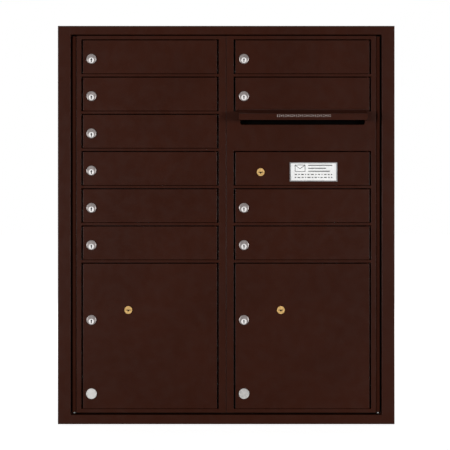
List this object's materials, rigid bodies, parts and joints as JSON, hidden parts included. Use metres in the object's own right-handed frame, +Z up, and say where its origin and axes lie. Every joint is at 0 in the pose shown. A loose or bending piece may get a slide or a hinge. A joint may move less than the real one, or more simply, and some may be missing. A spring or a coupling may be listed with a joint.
{
  "type": "recessed wall mailbox unit",
  "caption": "Wall-recessed front-loading mailbox unit in dark bronze: two columns of tenant doors over two parcel lockers, hinged master doors, hooded mail slot.",
  "frame": {"origin": "middle of the trim's bottom edge, on the wall plane against which the trim's outer return sits", "axes": "+Z up, +Y into the wall, front faces -Y, +X to the viewer's right"},
  "size_m": [0.804, 0.4705, 0.951],
  "materials": {
    "bronze_paint": "satin powder coat, dark bronze",
    "bronze_hinge": "satin powder coat, dark bronze",
    "guard_black": "matte black paint",
    "mill_aluminium": "mill finish sheet",
    "zinc_steel": "zinc plated",
    "lock_nickel": "nickel plated",
    "plug_steel": "fine turned",
    "lock_brass": "satin brass",
    "disc_grey": "matte aluminium",
    "placard_white": "white enamel with a silver border"
  },
  "bodies": {
    "cabinet": {"trim_frame": "bronze_paint", "cabinet_shell": "mill_aluminium", "cabinet_back": "mill_aluminium", "centre_partition": "mill_aluminium", "compartment_shelves": "mill_aluminium", "fixed_hinge_leaves": "bronze_hinge", "master_hinge_pins": "zinc_steel"},
    "left_master": {"left_master_face": "bronze_paint", "left_master_rails": "bronze_paint", "left_hinge_leaf": "bronze_hinge"},
    "right_master": {"right_master_face": "bronze_paint", "right_master_rails": "bronze_paint", "right_hinge_leaf": "bronze_hinge", "lock_panel": "bronze_paint", "mail_placard": "placard_white", "master_lock_case": "zinc_steel", "slot_guard": "guard_black"},
    "latch_lever": {"centre_latch_lever": "zinc_steel"},
    "master_plug": {"master_lock_plug": "lock_brass"},
    "master_bolt": {"master_lock_bolt": "zinc_steel"},
    "tenant_01": {"tenant_door_01": "bronze_paint", "tenant_housing_01": "lock_nickel"},
    "plug_01": {"tenant_plug_01": "plug_steel"},
    "tenant_02": {"tenant_door_02": "bronze_paint", "tenant_housing_02": "lock_nickel"},
    "plug_02": {"tenant_plug_02": "plug_steel"},
    "tenant_03": {"tenant_door_03": "bronze_paint", "tenant_housing_03": "lock_nickel"},
    "plug_03": {"tenant_plug_03": "plug_steel"},
    "tenant_04": {"tenant_door_04": "bronze_paint", "tenant_housing_04": "lock_nickel"},
    "plug_04": {"tenant_plug_04": "plug_steel"},
    "tenant_05": {"tenant_door_05": "bronze_paint", "tenant_housing_05": "lock_nickel"},
    "plug_05": {"tenant_plug_05": "plug_steel"},
    "tenant_06": {"tenant_door_06": "bronze_paint", "tenant_housing_06": "lock_nickel"},
    "plug_06": {"tenant_plug_06": "plug_steel"},
    "tenant_07": {"tenant_door_07": "bronze_paint", "tenant_housing_07": "lock_nickel"},
    "plug_07": {"tenant_plug_07": "plug_steel"},
    "tenant_08": {"tenant_door_08": "bronze_paint", "tenant_housing_08": "lock_nickel"},
    "plug_08": {"tenant_plug_08": "plug_steel"},
    "tenant_09": {"tenant_door_09": "bronze_paint", "tenant_housing_09": "lock_nickel"},
    "plug_09": {"tenant_plug_09": "plug_steel"},
    "tenant_10": {"tenant_door_10": "bronze_paint", "tenant_housing_10": "lock_nickel"},
    "plug_10": {"tenant_plug_10": "plug_steel"},
    "parcel_left": {"parcel_door_left": "bronze_paint", "parcel_lock_bodies_left": "lock_nickel", "parcel_disc_left": "disc_grey"},
    "customer_plug_left": {"parcel_customer_plug_left": "plug_steel"},
    "carrier_plug_left": {"parcel_carrier_plug_left": "lock_brass"},
    "parcel_right": {"parcel_door_right": "bronze_paint", "parcel_lock_bodies_right": "lock_nickel", "parcel_disc_right": "disc_grey"},
    "customer_plug_right": {"parcel_customer_plug_right": "plug_steel"},
    "carrier_plug_right": {"parcel_carrier_plug_right": "lock_brass"}
  },
  "joints": [
    {"name": "left_master_hinge", "type": "hinge", "parent": "cabinet", "child": "left_master", "pos_m": [-0.3625, -0.0115, 0.477], "axis": [0, 0, 1], "range_deg": [-110, 0]},
    {"name": "right_master_hinge", "type": "hinge", "parent": "cabinet", "child": "right_master", "pos_m": [0.3625, -0.0115, 0.477], "axis": [0, 0, -1], "range_deg": [-110, 0]},
    {"name": "latch_turn", "type": "hinge", "parent": "cabinet", "child": "latch_lever", "pos_m": [0.008, 0.008, 0.33], "axis": [0, -1, 0], "range_deg": [0, 90]},
    {"name": "master_lock_turn", "type": "hinge", "parent": "right_master", "child": "master_plug", "pos_m": [0.0822, -0.01, 0.6018], "axis": [0, -1, 0], "range_deg": [0, 90]},
    {"name": "master_bolt_slide", "type": "slide", "parent": "right_master", "child": "master_bolt", "axis": [-1, 0, 0], "range_m": [0, 0.014]},
    {"name": "tenant_01_hinge", "type": "hinge", "parent": "left_master", "child": "tenant_01", "pos_m": [-0.026, -0.009, 0.87695], "axis": [0, 0, 1], "range_deg": [0, 95]},
    {"name": "tenant_01_lock", "type": "hinge", "parent": "tenant_01", "child": "plug_01", "pos_m": [-0.3217, -0.01, 0.8686], "axis": [0, -1, 0], "range_deg": [0, 90]},
    {"name": "tenant_02_hinge", "type": "hinge", "parent": "left_master", "child": "tenant_02", "pos_m": [-0.026, -0.009, 0.78805], "axis": [0, 0, 1], "range_deg": [0, 95]},
    {"name": "tenant_02_lock", "type": "hinge", "parent": "tenant_02", "child": "plug_02", "pos_m": [-0.3217, -0.01, 0.7797], "axis": [0, -1, 0], "range_deg": [0, 90]},
    {"name": "tenant_03_hinge", "type": "hinge", "parent": "left_master", "child": "tenant_03", "pos_m": [-0.026, -0.009, 0.69915], "axis": [0, 0, 1], "range_deg": [0, 95]},
    {"name": "tenant_03_lock", "type": "hinge", "parent": "tenant_03", "child": "plug_03", "pos_m": [-0.3217, -0.01, 0.6908], "axis": [0, -1, 0], "range_deg": [0, 90]},
    {"name": "tenant_04_hinge", "type": "hinge", "parent": "left_master", "child": "tenant_04", "pos_m": [-0.026, -0.009, 0.61025], "axis": [0, 0, 1], "range_deg": [0, 95]},
    {"name": "tenant_04_lock", "type": "hinge", "parent": "tenant_04", "child": "plug_04", "pos_m": [-0.3217, -0.01, 0.6019], "axis": [0, -1, 0], "range_deg": [0, 90]},
    {"name": "tenant_05_hinge", "type": "hinge", "parent": "left_master", "child": "tenant_05", "pos_m": [-0.026, -0.009, 0.52135], "axis": [0, 0, 1], "range_deg": [0, 95]},
    {"name": "tenant_05_lock", "type": "hinge", "parent": "tenant_05", "child": "plug_05", "pos_m": [-0.3217, -0.01, 0.513], "axis": [0, -1, 0], "range_deg": [0, 90]},
    {"name": "tenant_06_hinge", "type": "hinge", "parent": "left_master", "child": "tenant_06", "pos_m": [-0.026, -0.009, 0.43245], "axis": [0, 0, 1], "range_deg": [0, 95]},
    {"name": "tenant_06_lock", "type": "hinge", "parent": "tenant_06", "child": "plug_06", "pos_m": [-0.3217, -0.01, 0.4241], "axis": [0, -1, 0], "range_deg": [0, 90]},
    {"name": "tenant_07_hinge", "type": "hinge", "parent": "right_master", "child": "tenant_07", "pos_m": [0.338, -0.009, 0.87695], "axis": [0, 0, 1], "range_deg": [0, 95]},
    {"name": "tenant_07_lock", "type": "hinge", "parent": "tenant_07", "child": "plug_07", "pos_m": [0.0423, -0.01, 0.8686], "axis": [0, -1, 0], "range_deg": [0, 90]},
    {"name": "tenant_08_hinge", "type": "hinge", "parent": "right_master", "child": "tenant_08", "pos_m": [0.338, -0.009, 0.78805], "axis": [0, 0, 1], "range_deg": [0, 85]},
    {"name": "tenant_08_lock", "type": "hinge", "parent": "tenant_08", "child": "plug_08", "pos_m": [0.0423, -0.01, 0.7797], "axis": [0, -1, 0], "range_deg": [0, 90]},
    {"name": "tenant_09_hinge", "type": "hinge", "parent": "right_master", "child": "tenant_09", "pos_m": [0.338, -0.009, 0.52135], "axis": [0, 0, 1], "range_deg": [0, 95]},
    {"name": "tenant_09_lock", "type": "hinge", "parent": "tenant_09", "child": "plug_09", "pos_m": [0.0423, -0.01, 0.513], "axis": [0, -1, 0], "range_deg": [0, 90]},
    {"name": "tenant_10_hinge", "type": "hinge", "parent": "right_master", "child": "tenant_10", "pos_m": [0.338, -0.009, 0.43245], "axis": [0, 0, 1], "range_deg": [0, 95]},
    {"name": "tenant_10_lock", "type": "hinge", "parent": "tenant_10", "child": "plug_10", "pos_m": [0.0423, -0.01, 0.4241], "axis": [0, -1, 0], "range_deg": [0, 90]},
    {"name": "parcel_left_hinge", "type": "hinge", "parent": "left_master", "child": "parcel_left", "pos_m": [-0.026, -0.009, 0.2102], "axis": [0, 0, 1], "range_deg": [0, 95]},
    {"name": "parcel_left_customer_lock", "type": "hinge", "parent": "parcel_left", "child": "customer_plug_left", "pos_m": [-0.3217, -0.01, 0.2455], "axis": [0, -1, 0], "range_deg": [0, 90]},
    {"name": "parcel_left_carrier_lock", "type": "hinge", "parent": "parcel_left", "child": "carrier_plug_left", "pos_m": [-0.2336, -0.01, 0.2727], "axis": [0, -1, 0], "range_deg": [0, 90]},
    {"name": "parcel_right_hinge", "type": "hinge", "parent": "right_master", "child": "parcel_right", "pos_m": [0.338, -0.009, 0.2102], "axis": [0, 0, 1], "range_deg": [0, 95]},
    {"name": "parcel_right_customer_lock", "type": "hinge", "parent": "parcel_right", "child": "customer_plug_right", "pos_m": [0.0423, -0.01, 0.2455], "axis": [0, -1, 0], "range_deg": [0, 90]},
    {"name": "parcel_right_carrier_lock", "type": "hinge", "parent": "parcel_right", "child": "carrier_plug_right", "pos_m": [0.1304, -0.01, 0.2727], "axis": [0, -1, 0], "range_deg": [0, 90]}
  ],
  "couplings": [
    {"joint": "master_lock_turn", "follows": "master_bolt_slide", "rad_per_m": 111.6}
  ]
}
